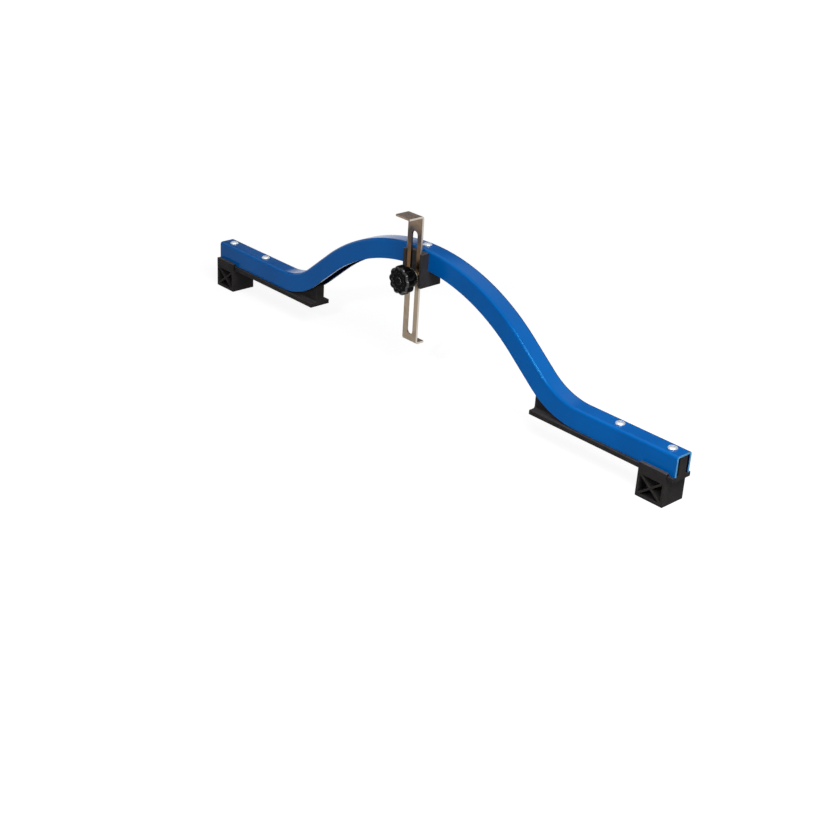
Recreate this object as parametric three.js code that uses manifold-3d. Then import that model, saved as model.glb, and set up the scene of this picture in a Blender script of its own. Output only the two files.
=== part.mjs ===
// Wheel dishing gauge: a bow of pressed steel channel that stands on two sliding blocks, with a slotted
// indicator strip clamped upright in the middle by a thumb knob.
// Millimetres, +Z up. X runs along the beam and the strip is clamped on the beam's front, the -Y side.
// The origin lies under the middle of the whole gauge, on the plane that the blocks stand on.

import * as THREE from 'three';
import { mergeVertices } from 'three/addons/utils/BufferGeometryUtils.js';
import Module from 'manifold-3d';

const wasm = await Module();
wasm.setup();

// Clearances between pieces, and how far a cutting tool runs past the face that it opens
const clearance = 0.3;
const slidingClearance = 0.4;
const overrun = 1;

// Beam: an inverted U of bent sheet, as it runs from the crest down to one leg
const beamWidth = 19;
const beamHeight = 19.6;
const beamWall = 2;
const beamBendRadius = 2.6;
const crestRadius = 215;
const flankAngle = THREE.MathUtils.degToRad(39.2);
const flankLength = 37;
const footRadius = 70.5;
const legLength = 109.4;

// Rails: plastic T bars riveted into the legs
const railLength = 163;
const railFlangeWidth = 24;
const railFlangeThickness = 4.4;
const railWebWidth = 10;
const railFilletRadius = 2.2;

// Sliding blocks
const blockLength = 29.2;
const blockWidth = 28;
const blockBaseHeight = 24.5;
const blockLipThickness = 2.4;
const pocketLength = 24;
const pocketFloor = 3;
const pocketHeight = 18.5;
const pocketDepth = 11;
const pocketRibThickness = 1.8;
const rightBlockInset = 5.5;

// Blind rivets
const rivetHeadDiameter = 8.8;
const rivetHeadHeight = 1.7;
const rivetShankDiameter = 4.8;
const rivetShankLength = 10.5;
const rivetBore = 2.9;
const rivetHoleDepth = 15;
const mandrelDiameter = 2.3;
const mandrelRecess = 0.9;
const mandrelHeadDiameter = 4.4;
const mandrelHeadLength = 1.8;
const outerRivetEndDistance = 12.9;
const legRivetPitch = 56.7;

// Indicator strip
const stripWidth = 19.3;
const stripThickness = 2;
const stripHeight = 128;
const stripFootUnderside = 42.5;
const stripFootReach = 10.3;
const stripTopReach = 18.2;
const stripBendRadius = 1;
const stripSlotWidth = 7.8;
const stripSlotBottom = 50.5;
const stripSlotTop = 153.8;

// Guide bracket
const guideWallThickness = 2.8;
const guideWallProud = 1.3;
const guideBackThickness = 5.2;
const guideDepthBelowBolt = 7.7;

// Clamp: bolt, washer, knob and the insert in it
const boltDropBelowCrest = 28.5;
const boltDiameter = 6;
const boltHeadAcrossFlats = 10;
const boltHeadHeight = 4;
const boltHeadRecess = 1;
const washerDiameter = 18;
const washerThickness = 1.6;
const knobDiameter = 28.2;
const knobThickness = 11.2;
const knobLobes = 10;
const knobLobeDepth = 1.6;
const knobEdgeRadius = 1.2;
const knobBossDiameter = 15;
const knobBossLength = 5;
const knobFrontWall = 2.6;
const insertDiameter = 9;
const insertLength = 11;

// How finely round stretches are cut into flats
const arcStep = THREE.MathUtils.degToRad(4);
const roundSegments = 32;
const cornerSegments = 3;
const pointsPerLobe = 8;

// Heights, worked up from the plane that the blocks stand on
const railFlangeBottom = blockBaseHeight + clearance;
const railFlangeTop = railFlangeBottom + railFlangeThickness;
const legLowerEdge = railFlangeTop + clearance;
const legTop = legLowerEdge + beamHeight;
const railWebTop = legTop - beamWall - clearance;
const footRise = footRadius * (1 - Math.cos(flankAngle));
const flankRise = flankLength * Math.sin(flankAngle);
const crestRise = crestRadius * (1 - Math.cos(flankAngle));
const crestTop = legTop + footRise + flankRise + crestRise;
const boltHeight = crestTop - boltDropBelowCrest;

// Places along X
const crestHalfSpan = crestRadius * Math.sin(flankAngle);
const footHalfSpan = crestHalfSpan + flankLength * Math.cos(flankAngle);
const legStart = footHalfSpan + footRadius * Math.sin(flankAngle);
const beamHalfLength = legStart + legLength;
const railTip = beamHalfLength - railLength;
const outerRivetX = beamHalfLength - outerRivetEndDistance;
const innerRivetX = outerRivetX - legRivetPitch;

// Places along Y, from the beam's middle plane towards the front
const beamFront = -beamWidth / 2;
const guideBackFace = beamFront - clearance;
const guideSeat = guideBackFace - guideBackThickness;
const stripBack = guideSeat - clearance;
const stripFront = stripBack - stripThickness;
const guideWallFront = stripFront - guideWallProud;
const washerBack = stripFront - clearance;
const washerFront = washerBack - washerThickness;
const knobBossBack = washerFront - clearance;
const knobBack = knobBossBack - knobBossLength;
const knobFront = knobBack - knobThickness;
const insertBack = knobBossBack - clearance;
const insertFront = insertBack - insertLength;
const tongueHalfWidth = beamWidth / 2 - beamWall - clearance;

// The whole is set so that the origin is in the middle of its depth
const depthShift = -(knobFront + blockWidth / 2) / 2;

const paint = new THREE.MeshStandardMaterial({ color: 0x0a4f9e, roughness: 0.38, metalness: 0 });
const plastic = new THREE.MeshStandardMaterial({ color: 0x201f1f, roughness: 0.55, metalness: 0 });
const stainless = new THREE.MeshStandardMaterial({ color: 0xa39b91, roughness: 0.32, metalness: 1 });
const rivetMetal = new THREE.MeshStandardMaterial({ color: 0xcfd2d4, roughness: 0.3, metalness: 1 });
const zincSteel = new THREE.MeshStandardMaterial({ color: 0xb4b6b8, roughness: 0.35, metalness: 1 });
const brass = new THREE.MeshStandardMaterial({ color: 0xb08d45, roughness: 0.35, metalness: 1 });

// Merges a geometry's shared corners and drops the triangles that then have no area.
function weld(geometry) {
  const bare = geometry.index ? geometry.toNonIndexed() : geometry.clone();
  bare.deleteAttribute('normal');
  bare.deleteAttribute('uv');
  const merged = mergeVertices(bare);
  const corners = merged.index.array;
  const kept = [];
  for (let i = 0; i < corners.length; i += 3) {
    const [a, b, c] = [corners[i], corners[i + 1], corners[i + 2]];
    if (a !== b && b !== c && c !== a) {
      kept.push(a, b, c);
    }
  }
  merged.setIndex(kept);
  return merged;
}

// Turns a closed geometry into a solid that can be joined and cut.
function solidOf(geometry) {
  const welded = weld(geometry);
  const mesh = new wasm.Mesh({
    numProp: 3,
    vertProperties: new Float32Array(welded.attributes.position.array),
    triVerts: new Uint32Array(welded.index.array),
  });
  return new wasm.Manifold(mesh);
}

// Turns a solid back into a geometry.
function geometryOf(solid) {
  const mesh = solid.getMesh();
  const geometry = new THREE.BufferGeometry();
  geometry.setAttribute('position', new THREE.BufferAttribute(mesh.vertProperties, 3));
  geometry.setIndex(new THREE.BufferAttribute(mesh.triVerts, 1));
  return geometry;
}

function join(geometries) {
  return geometryOf(geometries.map(solidOf).reduce((whole, piece) => whole.add(piece)));
}

function cut(geometry, tools) {
  return geometryOf(tools.map(solidOf).reduce((whole, tool) => whole.subtract(tool), solidOf(geometry)));
}

// A box between two values on each axis.
function box([x0, x1], [y0, y1], [z0, z1]) {
  const geometry = new THREE.BoxGeometry(x1 - x0, y1 - y0, z1 - z0);
  return geometry.translate((x0 + x1) / 2, (y0 + y1) / 2, (z0 + z1) / 2);
}

// An outline drawn as (y, z), run along X from x0 to x1.
function alongX(shape, x0, x1) {
  const geometry = new THREE.ExtrudeGeometry(shape, {
    depth: x1 - x0,
    bevelEnabled: false,
    curveSegments: cornerSegments,
  });
  const axes = new THREE.Matrix4().makeBasis(
    new THREE.Vector3(0, 1, 0),
    new THREE.Vector3(0, 0, 1),
    new THREE.Vector3(1, 0, 0),
  );
  return geometry.applyMatrix4(axes).translate(x0, 0, 0);
}

// Lays a geometry that was drawn as (x, z) and raised along its own third axis into the X-Z plane,
// raised towards the front from y.
function standFrom(geometry, y) {
  const axes = new THREE.Matrix4().makeBasis(
    new THREE.Vector3(1, 0, 0),
    new THREE.Vector3(0, 0, 1),
    new THREE.Vector3(0, -1, 0),
  );
  return geometry.applyMatrix4(axes).translate(0, y, 0);
}

// An outline drawn as (x, z), run along Y between yBack and yFront, which lies nearer the front.
function alongY(shape, yBack, yFront) {
  const geometry = new THREE.ExtrudeGeometry(shape, {
    depth: yBack - yFront,
    bevelEnabled: false,
    curveSegments: roundSegments / 2,
  });
  return standFrom(geometry, yBack);
}

// A round bar along Y, through x = 0.
function roundY(diameter, yBack, yFront, z) {
  const bar = new THREE.CylinderGeometry(diameter / 2, diameter / 2, yBack - yFront, roundSegments);
  return bar.translate(0, (yBack + yFront) / 2, z);
}

// A round bar along Z.
function roundZ(diameter, z0, z1, x) {
  const bar = new THREE.CylinderGeometry(diameter / 2, diameter / 2, z1 - z0, roundSegments);
  return bar.rotateX(Math.PI / 2).translate(x, 0, (z0 + z1) / 2);
}

// A ring about the Y axis, with a square section.
function ringY(outerDiameter, bore, yBack, yFront, z) {
  const profile = [
    new THREE.Vector2(bore / 2, yFront),
    new THREE.Vector2(outerDiameter / 2, yFront),
    new THREE.Vector2(outerDiameter / 2, yBack),
    new THREE.Vector2(bore / 2, yBack),
    new THREE.Vector2(bore / 2, yFront),
  ];
  return weld(new THREE.LatheGeometry(profile, roundSegments)).translate(0, 0, z);
}

// A profile of (radius, height) turned about the Z axis.
function turnedZ(profile, x, z) {
  return weld(new THREE.LatheGeometry(profile, roundSegments)).rotateX(Math.PI / 2).translate(x, 0, z);
}

// The beam's top line as stations of place and slope, from the left end to the right end.
function beamStations() {
  const half = [];
  const arcCount = Math.ceil(flankAngle / arcStep);
  for (let i = 0; i <= arcCount; i += 1) {
    const slope = (flankAngle * i) / arcCount;
    const x = crestRadius * Math.sin(slope);
    half.push({ x, z: crestTop - crestRadius * (1 - Math.cos(slope)), slope });
  }
  for (let i = arcCount; i >= 0; i -= 1) {
    const slope = (flankAngle * i) / arcCount;
    const x = legStart - footRadius * Math.sin(slope);
    half.push({ x, z: legTop + footRadius * (1 - Math.cos(slope)), slope });
  }
  half.push({ x: beamHalfLength, z: legTop, slope: 0 });
  const mirrored = half.slice(1).reverse().map(({ x, z, slope }) => ({ x: -x, z, slope: -slope }));
  return [...mirrored, ...half];
}

// The beam's section as (across, up), its top at zero: round outer corners, and open below.
function beamSection() {
  const half = beamWidth / 2;
  const innerRadius = beamBendRadius - beamWall;
  const innerHalf = half - beamWall;
  const shape = new THREE.Shape();
  shape.moveTo(-half, -beamHeight);
  shape.lineTo(-innerHalf, -beamHeight);
  shape.lineTo(-innerHalf, -beamWall - innerRadius);
  shape.absarc(-innerHalf + innerRadius, -beamWall - innerRadius, innerRadius, Math.PI, Math.PI / 2, true);
  shape.absarc(innerHalf - innerRadius, -beamWall - innerRadius, innerRadius, Math.PI / 2, 0, true);
  shape.lineTo(innerHalf, -beamHeight);
  shape.lineTo(half, -beamHeight);
  shape.lineTo(half, -beamBendRadius);
  shape.absarc(half - beamBendRadius, -beamBendRadius, beamBendRadius, 0, Math.PI / 2, false);
  shape.absarc(-half + beamBendRadius, -beamBendRadius, beamBendRadius, Math.PI / 2, Math.PI, false);
  return shape.extractPoints(cornerSegments).shape;
}

// Sweeps a closed section along stations that lie in the X-Z plane, each at right angles to its slope.
function sweep(section, stations) {
  const outline = section.filter((point, i) => i === 0 || point.distanceTo(section[i - 1]) > 0);
  if (outline[0].equals(outline[outline.length - 1])) {
    outline.pop();
  }
  if (!THREE.ShapeUtils.isClockWise(outline)) {
    outline.reverse();
  }
  const count = outline.length;
  const positions = [];
  for (const { x, z, slope } of stations) {
    for (const { x: across, y: up } of outline) {
      positions.push(x + up * Math.sin(slope), across, z + up * Math.cos(slope));
    }
  }
  const indices = [];
  for (let station = 1; station < stations.length; station += 1) {
    for (let i = 0; i < count; i += 1) {
      const a = (station - 1) * count + i;
      const b = (station - 1) * count + ((i + 1) % count);
      indices.push(a, a + count, b, b, a + count, b + count);
    }
  }
  const last = (stations.length - 1) * count;
  for (const [a, b, c] of THREE.ShapeUtils.triangulateShape(outline, [])) {
    indices.push(c, b, a, last + a, last + b, last + c);
  }
  const geometry = new THREE.BufferGeometry();
  geometry.setAttribute('position', new THREE.Float32BufferAttribute(positions, 3));
  geometry.setIndex(indices);
  return geometry;
}

// Every rivet's place along the beam, and the height of the sheet that its head lies on
const rivetHoleDiameter = rivetShankDiameter + 2 * clearance;
const rivets = [
  { name: 'crest_rivet', x: 0, sheetTop: crestTop },
  { name: 'left_outer_rivet', x: -outerRivetX, sheetTop: legTop },
  { name: 'left_inner_rivet', x: -innerRivetX, sheetTop: legTop },
  { name: 'right_inner_rivet', x: innerRivetX, sheetTop: legTop },
  { name: 'right_outer_rivet', x: outerRivetX, sheetTop: legTop },
];

function beamGeometry() {
  const holes = rivets.map(({ x, sheetTop }) =>
    roundZ(rivetHoleDiameter, sheetTop - beamHeight / 2, sheetTop + overrun, x));
  return cut(sweep(beamSection(), beamStations()), holes);
}

// A T bar, its flange below and its web up inside the leg; side is -1 for the left and 1 for the right.
function railGeometry(side) {
  const flangeHalf = railFlangeWidth / 2;
  const webHalf = railWebWidth / 2;
  const filletTop = railFlangeTop + railFilletRadius;
  const filletOut = webHalf + railFilletRadius;
  const shape = new THREE.Shape();
  shape.moveTo(-flangeHalf, railFlangeBottom);
  shape.lineTo(flangeHalf, railFlangeBottom);
  shape.lineTo(flangeHalf, railFlangeTop);
  shape.lineTo(filletOut, railFlangeTop);
  shape.absarc(filletOut, filletTop, railFilletRadius, -Math.PI / 2, Math.PI, true);
  shape.lineTo(webHalf, railWebTop);
  shape.lineTo(-webHalf, railWebTop);
  shape.lineTo(-webHalf, filletTop);
  shape.absarc(-filletOut, filletTop, railFilletRadius, 0, -Math.PI / 2, true);
  shape.lineTo(-flangeHalf, railFlangeTop);
  const ends = [side * railTip, side * beamHalfLength];
  const bar = alongX(shape, Math.min(...ends), Math.max(...ends));
  const holes = [outerRivetX, innerRivetX].map((x) =>
    roundZ(rivetHoleDiameter, legTop - rivetHoleDepth, railWebTop + overrun, side * x));
  return cut(bar, holes);
}

// The four three-cornered hollows that leave a cross of ribs in one side of a block.
function pocketShapes() {
  const halfLength = pocketLength / 2;
  const halfHeight = pocketHeight / 2;
  const diagonal = Math.hypot(halfLength, halfHeight);
  const apexUp = (pocketRibThickness / 2) * (diagonal / halfLength);
  const apexAcross = (pocketRibThickness / 2) * (diagonal / halfHeight);
  const cornerAcross = ((halfHeight - apexUp) * halfLength) / halfHeight;
  const cornerUp = ((halfLength - apexAcross) * halfHeight) / halfLength;
  const triangles = [];
  for (const sign of [-1, 1]) {
    const edge = sign * halfHeight;
    const side = sign * halfLength;
    triangles.push([[0, sign * apexUp], [cornerAcross, edge], [-cornerAcross, edge]]);
    triangles.push([[sign * apexAcross, 0], [side, cornerUp], [side, -cornerUp]]);
  }
  const middle = pocketFloor + halfHeight;
  return triangles.map((points) =>
    new THREE.Shape(points.map(([across, up]) => new THREE.Vector2(across, middle + up))));
}

// A block about x = 0: a ribbed foot, and two lips that hook over the rail's flange.
function blockGeometry() {
  const half = blockWidth / 2;
  const slotHalf = railFlangeWidth / 2 + clearance;
  const lipFloor = railFlangeTop + clearance;
  const lipTop = lipFloor + blockLipThickness;
  const neckHalf = beamWidth / 2 + slidingClearance;
  const profile = new THREE.Shape([
    new THREE.Vector2(-half, 0),
    new THREE.Vector2(half, 0),
    new THREE.Vector2(half, lipTop),
    new THREE.Vector2(neckHalf, lipTop),
    new THREE.Vector2(neckHalf, lipFloor),
    new THREE.Vector2(slotHalf, lipFloor),
    new THREE.Vector2(slotHalf, blockBaseHeight),
    new THREE.Vector2(-slotHalf, blockBaseHeight),
    new THREE.Vector2(-slotHalf, lipFloor),
    new THREE.Vector2(-neckHalf, lipFloor),
    new THREE.Vector2(-neckHalf, lipTop),
    new THREE.Vector2(-half, lipTop),
  ]);
  const body = alongX(profile, -blockLength / 2, blockLength / 2);
  const pockets = pocketShapes().flatMap((shape) => [
    alongY(shape, -half + pocketDepth, -half - overrun),
    alongY(shape, half + overrun, half - pocketDepth),
  ]);
  return cut(body, pockets);
}

// A hollow rivet: domed head on the sheet, shank down through it. Drawn with the sheet's top at zero.
function rivetGeometry(x, sheetTop) {
  const headRadius = rivetHeadDiameter / 2;
  const shankRadius = rivetShankDiameter / 2;
  const boreRadius = rivetBore / 2;
  const base = clearance;
  const profile = [
    new THREE.Vector2(boreRadius, -rivetShankLength),
    new THREE.Vector2(shankRadius, -rivetShankLength),
    new THREE.Vector2(shankRadius, base),
    new THREE.Vector2(headRadius, base),
  ];
  const domeSegments = 2 * cornerSegments;
  for (let i = 1; i <= domeSegments; i += 1) {
    const turn = (i / domeSegments) * (Math.PI / 2);
    const radius = boreRadius + (headRadius - boreRadius) * Math.cos(turn);
    profile.push(new THREE.Vector2(radius, base + rivetHeadHeight * Math.sin(turn)));
  }
  profile.push(profile[0].clone());
  return turnedZ(profile, x, sheetTop);
}

// The mandrel left in a rivet: a pin just below the head's top, with its own head past the shank's end.
function mandrelGeometry(x, sheetTop) {
  const pinRadius = mandrelDiameter / 2;
  const headRadius = mandrelHeadDiameter / 2;
  const top = clearance + rivetHeadHeight - mandrelRecess;
  const headTop = -rivetShankLength - clearance;
  const profile = [
    new THREE.Vector2(0, headTop - mandrelHeadLength),
    new THREE.Vector2(headRadius, headTop - mandrelHeadLength),
    new THREE.Vector2(headRadius, headTop),
    new THREE.Vector2(pinRadius, headTop),
    new THREE.Vector2(pinRadius, top),
    new THREE.Vector2(0, top),
  ];
  return turnedZ(profile, x, sheetTop);
}

// A strip bent backwards at its foot and forwards at its top, with a long slot.
function stripGeometry() {
  const inner = stripBendRadius;
  const outer = stripBendRadius + stripThickness;
  const bottom = stripFootUnderside;
  const top = bottom + stripHeight;
  const footTip = stripFront + stripFootReach;
  const topTip = stripBack - stripTopReach;
  const down = -Math.PI / 2;
  const up = Math.PI / 2;
  const shape = new THREE.Shape();
  shape.moveTo(footTip, bottom);
  shape.lineTo(stripFront + outer, bottom);
  shape.absarc(stripFront + outer, bottom + outer, outer, down, -Math.PI, true);
  shape.lineTo(stripFront, top - outer);
  shape.absarc(stripFront - inner, top - outer, inner, 0, up, false);
  shape.lineTo(topTip, top - stripThickness);
  shape.lineTo(topTip, top);
  shape.lineTo(stripBack - outer, top);
  shape.absarc(stripBack - outer, top - outer, outer, up, 0, true);
  shape.lineTo(stripBack, bottom + outer);
  shape.absarc(stripBack + inner, bottom + outer, inner, -Math.PI, down, false);
  shape.lineTo(footTip, bottom + stripThickness);
  const strip = alongX(shape, -stripWidth / 2, stripWidth / 2);

  const slotRadius = stripSlotWidth / 2;
  const slot = new THREE.Shape();
  slot.absarc(0, stripSlotTop - slotRadius, slotRadius, 0, Math.PI, false);
  slot.absarc(0, stripSlotBottom + slotRadius, slotRadius, Math.PI, 2 * Math.PI, false);
  return cut(strip, [alongY(slot, stripBack + overrun, stripFront - overrun)]);
}

const boltHoleDiameter = boltDiameter + 2 * clearance;
const boltHeadBack = tongueHalfWidth - boltHeadRecess;
const boltHeadFront = boltHeadBack - boltHeadHeight;

// A six-sided bar along Y with flats above and below.
function hexY(acrossFlats, yBack, yFront, z) {
  const acrossCorners = acrossFlats / Math.cos(Math.PI / 6);
  const bar = new THREE.CylinderGeometry(acrossCorners / 2, acrossCorners / 2, yBack - yFront, 6);
  return bar.rotateY(Math.PI / 6).translate(0, (yBack + yFront) / 2, z);
}

// A moulded saddle: a tongue up inside the beam's crest, and in front of the beam a seat for the strip
// between two walls. Its slot takes the beam's front wall.
function bracketGeometry() {
  const halfWidth = stripWidth / 2 + slidingClearance + guideWallThickness;
  const bottom = boltHeight - guideDepthBelowBolt;
  const roofRadius = crestRadius - beamWall;
  const edgeRadius = crestRadius - beamHeight;
  const drop = (radius) => radius - Math.sqrt(radius ** 2 - halfWidth ** 2);
  const top = crestTop - beamWall - clearance - drop(roofRadius);
  const slotFloor = crestTop - beamHeight - clearance - drop(edgeRadius);
  const profile = new THREE.Shape([
    new THREE.Vector2(guideSeat, bottom),
    new THREE.Vector2(tongueHalfWidth, bottom),
    new THREE.Vector2(tongueHalfWidth, top),
    new THREE.Vector2(-tongueHalfWidth, top),
    new THREE.Vector2(-tongueHalfWidth, slotFloor),
    new THREE.Vector2(guideBackFace, slotFloor),
    new THREE.Vector2(guideBackFace, top),
    new THREE.Vector2(guideSeat, top),
  ]);
  const saddle = alongX(profile, -halfWidth, halfWidth);
  const wallSpan = [guideWallFront, guideSeat + overrun];
  const innerHalf = halfWidth - guideWallThickness;
  const walls = [[-halfWidth, -innerHalf], [innerHalf, halfWidth]].map((span) =>
    box(span, wallSpan, [bottom, top]));
  const backCut = tongueHalfWidth + overrun;
  return cut(join([saddle, ...walls]), [
    roundY(boltHoleDiameter, backCut, guideSeat - overrun, boltHeight),
    hexY(boltHeadAcrossFlats + 2 * clearance, backCut, boltHeadFront - clearance, boltHeight),
    roundZ(rivetHoleDiameter, crestTop - rivetHoleDepth, crestTop, 0),
  ]);
}

function boltGeometry() {
  const tip = insertFront + clearance;
  return join([
    hexY(boltHeadAcrossFlats, boltHeadBack, boltHeadFront, boltHeight),
    roundY(boltDiameter, boltHeadFront + overrun, tip, boltHeight),
  ]);
}

function washerGeometry() {
  return ringY(washerDiameter, boltHoleDiameter, washerBack, washerFront, boltHeight);
}

function insertGeometry() {
  return ringY(insertDiameter, boltHoleDiameter, insertBack, insertFront, boltHeight);
}

// A lobed hand wheel with a round boss behind, bored from the back for its insert.
function knobGeometry() {
  const outline = [];
  const pointCount = knobLobes * pointsPerLobe;
  for (let i = 0; i < pointCount; i += 1) {
    const turn = (i / pointCount) * 2 * Math.PI;
    const dip = knobLobeDepth * (1 - Math.abs(Math.cos((turn * knobLobes) / 2)));
    const radius = knobDiameter / 2 - knobEdgeRadius - dip;
    outline.push(new THREE.Vector2(radius * Math.cos(turn), radius * Math.sin(turn)));
  }
  const wheel = new THREE.ExtrudeGeometry(new THREE.Shape(outline), {
    depth: knobThickness - 2 * knobEdgeRadius,
    bevelThickness: knobEdgeRadius,
    bevelSize: knobEdgeRadius,
    bevelSegments: cornerSegments,
  });
  const standing = standFrom(wheel, knobBack - knobEdgeRadius).translate(0, 0, boltHeight);
  const boss = roundY(knobBossDiameter, knobBossBack, knobBack - overrun, boltHeight);
  const boreDiameter = insertDiameter + 2 * clearance;
  const bore = roundY(boreDiameter, knobBossBack + overrun, knobFront + knobFrontWall, boltHeight);
  return cut(join([standing, boss]), [bore]);
}

function named(name, geometry, material) {
  const mesh = new THREE.Mesh(geometry, material);
  mesh.name = name;
  return mesh;
}

const gauge = new THREE.Group();
gauge.position.y = depthShift;

gauge.add(named('beam_channel', beamGeometry(), paint));
gauge.add(named('left_rail', railGeometry(-1), plastic));
gauge.add(named('right_rail', railGeometry(1), plastic));

const leftBlock = named('left_block', blockGeometry(), plastic);
leftBlock.position.x = -beamHalfLength + blockLength / 2;
const rightBlock = named('right_block', blockGeometry(), plastic);
rightBlock.position.x = beamHalfLength - rightBlockInset - blockLength / 2;
gauge.add(leftBlock, rightBlock);

for (const { name, x, sheetTop } of rivets) {
  gauge.add(named(name, rivetGeometry(x, sheetTop), rivetMetal));
  gauge.add(named(`${name}_mandrel`, mandrelGeometry(x, sheetTop), zincSteel));
}

gauge.add(named('guide_bracket', bracketGeometry(), plastic));
gauge.add(named('indicator_strip', stripGeometry(), stainless));
gauge.add(named('clamp_bolt', boltGeometry(), zincSteel));
gauge.add(named('clamp_washer', washerGeometry(), zincSteel));
gauge.add(named('thumb_knob', knobGeometry(), plastic));
gauge.add(named('knob_insert', insertGeometry(), brass));

export default gauge;
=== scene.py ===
"""A wheel dishing gauge, dressed to be looked at.

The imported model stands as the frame. Each of its plain solids is replaced by a piece modelled at the same
size and place, with the bends, edges, draft and finish of the real one.

Sizes are in millimetres, and a piece is laid out about the beam's middle plane. Meshes are in metres.
"""

from __future__ import annotations

import logging
import math
from abc import ABC, abstractmethod
from collections.abc import Callable, Iterator, Sequence
from contextlib import contextmanager
from dataclasses import dataclass
from enum import Enum
from functools import cache, partial

import bmesh
import bpy
from mathutils import Matrix, Vector

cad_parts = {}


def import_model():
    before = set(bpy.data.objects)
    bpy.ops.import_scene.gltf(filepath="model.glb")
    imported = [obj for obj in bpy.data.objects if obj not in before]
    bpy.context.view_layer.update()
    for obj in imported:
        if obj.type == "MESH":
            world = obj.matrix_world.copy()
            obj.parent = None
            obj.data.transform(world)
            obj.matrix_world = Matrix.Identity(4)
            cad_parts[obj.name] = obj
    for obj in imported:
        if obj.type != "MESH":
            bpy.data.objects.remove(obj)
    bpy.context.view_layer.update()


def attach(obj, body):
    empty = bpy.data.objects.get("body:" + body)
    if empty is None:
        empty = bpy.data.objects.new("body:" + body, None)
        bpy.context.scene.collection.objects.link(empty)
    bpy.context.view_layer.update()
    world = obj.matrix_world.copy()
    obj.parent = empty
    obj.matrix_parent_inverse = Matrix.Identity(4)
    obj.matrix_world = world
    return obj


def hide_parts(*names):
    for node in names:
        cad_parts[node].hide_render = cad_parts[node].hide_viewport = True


Triple = tuple[float, float, float]
Pair = tuple[float, float]
PlaceTest = Callable[[Vector, Vector], bool]
Feed = bpy.types.Node | bpy.types.NodeSocket
Adder = Callable[..., bpy.types.Node]
Inputs = dict[str, object]

LOG = logging.getLogger("gauge")
MM = 0.001
PLACE_TOLERANCE = 0.01
MERGE_DISTANCE = 0.001
FACING = 0.5
SHARP_ANGLE = 40.0
OVERRUN = 1.0
ROUND_SIDES = 48
EDGE_SEGMENTS = 2
EDGE_SAMPLES = 6
WHITE = (1.0, 1.0, 1.0, 1.0)
ORIGIN: Triple = (0.0, 0.0, 0.0)
ALONG: Triple = (1.0, 0.0, 0.0)
BACKWARDS: Triple = (0.0, 1.0, 0.0)
FORWARDS: Triple = (0.0, -1.0, 0.0)
UP: Triple = (0.0, 0.0, 1.0)
# Nearly all of a noise texture lies in the wider of these, and most of it in the narrower
NOISE_RANGE: Pair = (0.3, 0.7)
NOISE_MIDDLE: Pair = (0.35, 0.65)


def near(value: float, target: float) -> bool:
    """Says whether a place on one axis is the one that is meant."""
    return abs(value - target) < PLACE_TOLERANCE


def hexagon_radius(flats: float) -> float:
    """Gives the distance from a hexagon's middle to its corners, from its width across flats."""
    return flats / 2 / math.cos(math.pi / 6)


class Body(Enum):
    """The bodies of the frame that pieces ride on."""

    BEAM = "beam_assembly"
    LEFT_BLOCK = "left_block"
    RIGHT_BLOCK = "right_block"
    INDICATOR = "indicator"
    WASHER = "washer"
    KNOB = "knob"


class Slot(Enum):
    """The material slots that the finishes belong to."""

    PAINT = "paint"
    PLASTIC = "black_plastic"
    STAINLESS = "stainless"
    RIVET = "rivet_metal"
    ZINC = "zinc_steel"
    BRASS = "brass"


class Element(Enum):
    """What a mesh is made of: a select mode's name, and the mesh's name for its list of them."""

    VERT = "verts"
    EDGE = "edges"
    FACE = "faces"


class Joining(Enum):
    """What a piece does with another that it meets."""

    UNION = "UNION"
    DIFFERENCE = "DIFFERENCE"


class Side(Enum):
    """The two ends of the beam, by the sign of X."""

    LEFT = -1
    RIGHT = 1

    @property
    def label(self) -> str:
        """The side's word in the names of pieces."""
        return self.name.lower()


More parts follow.
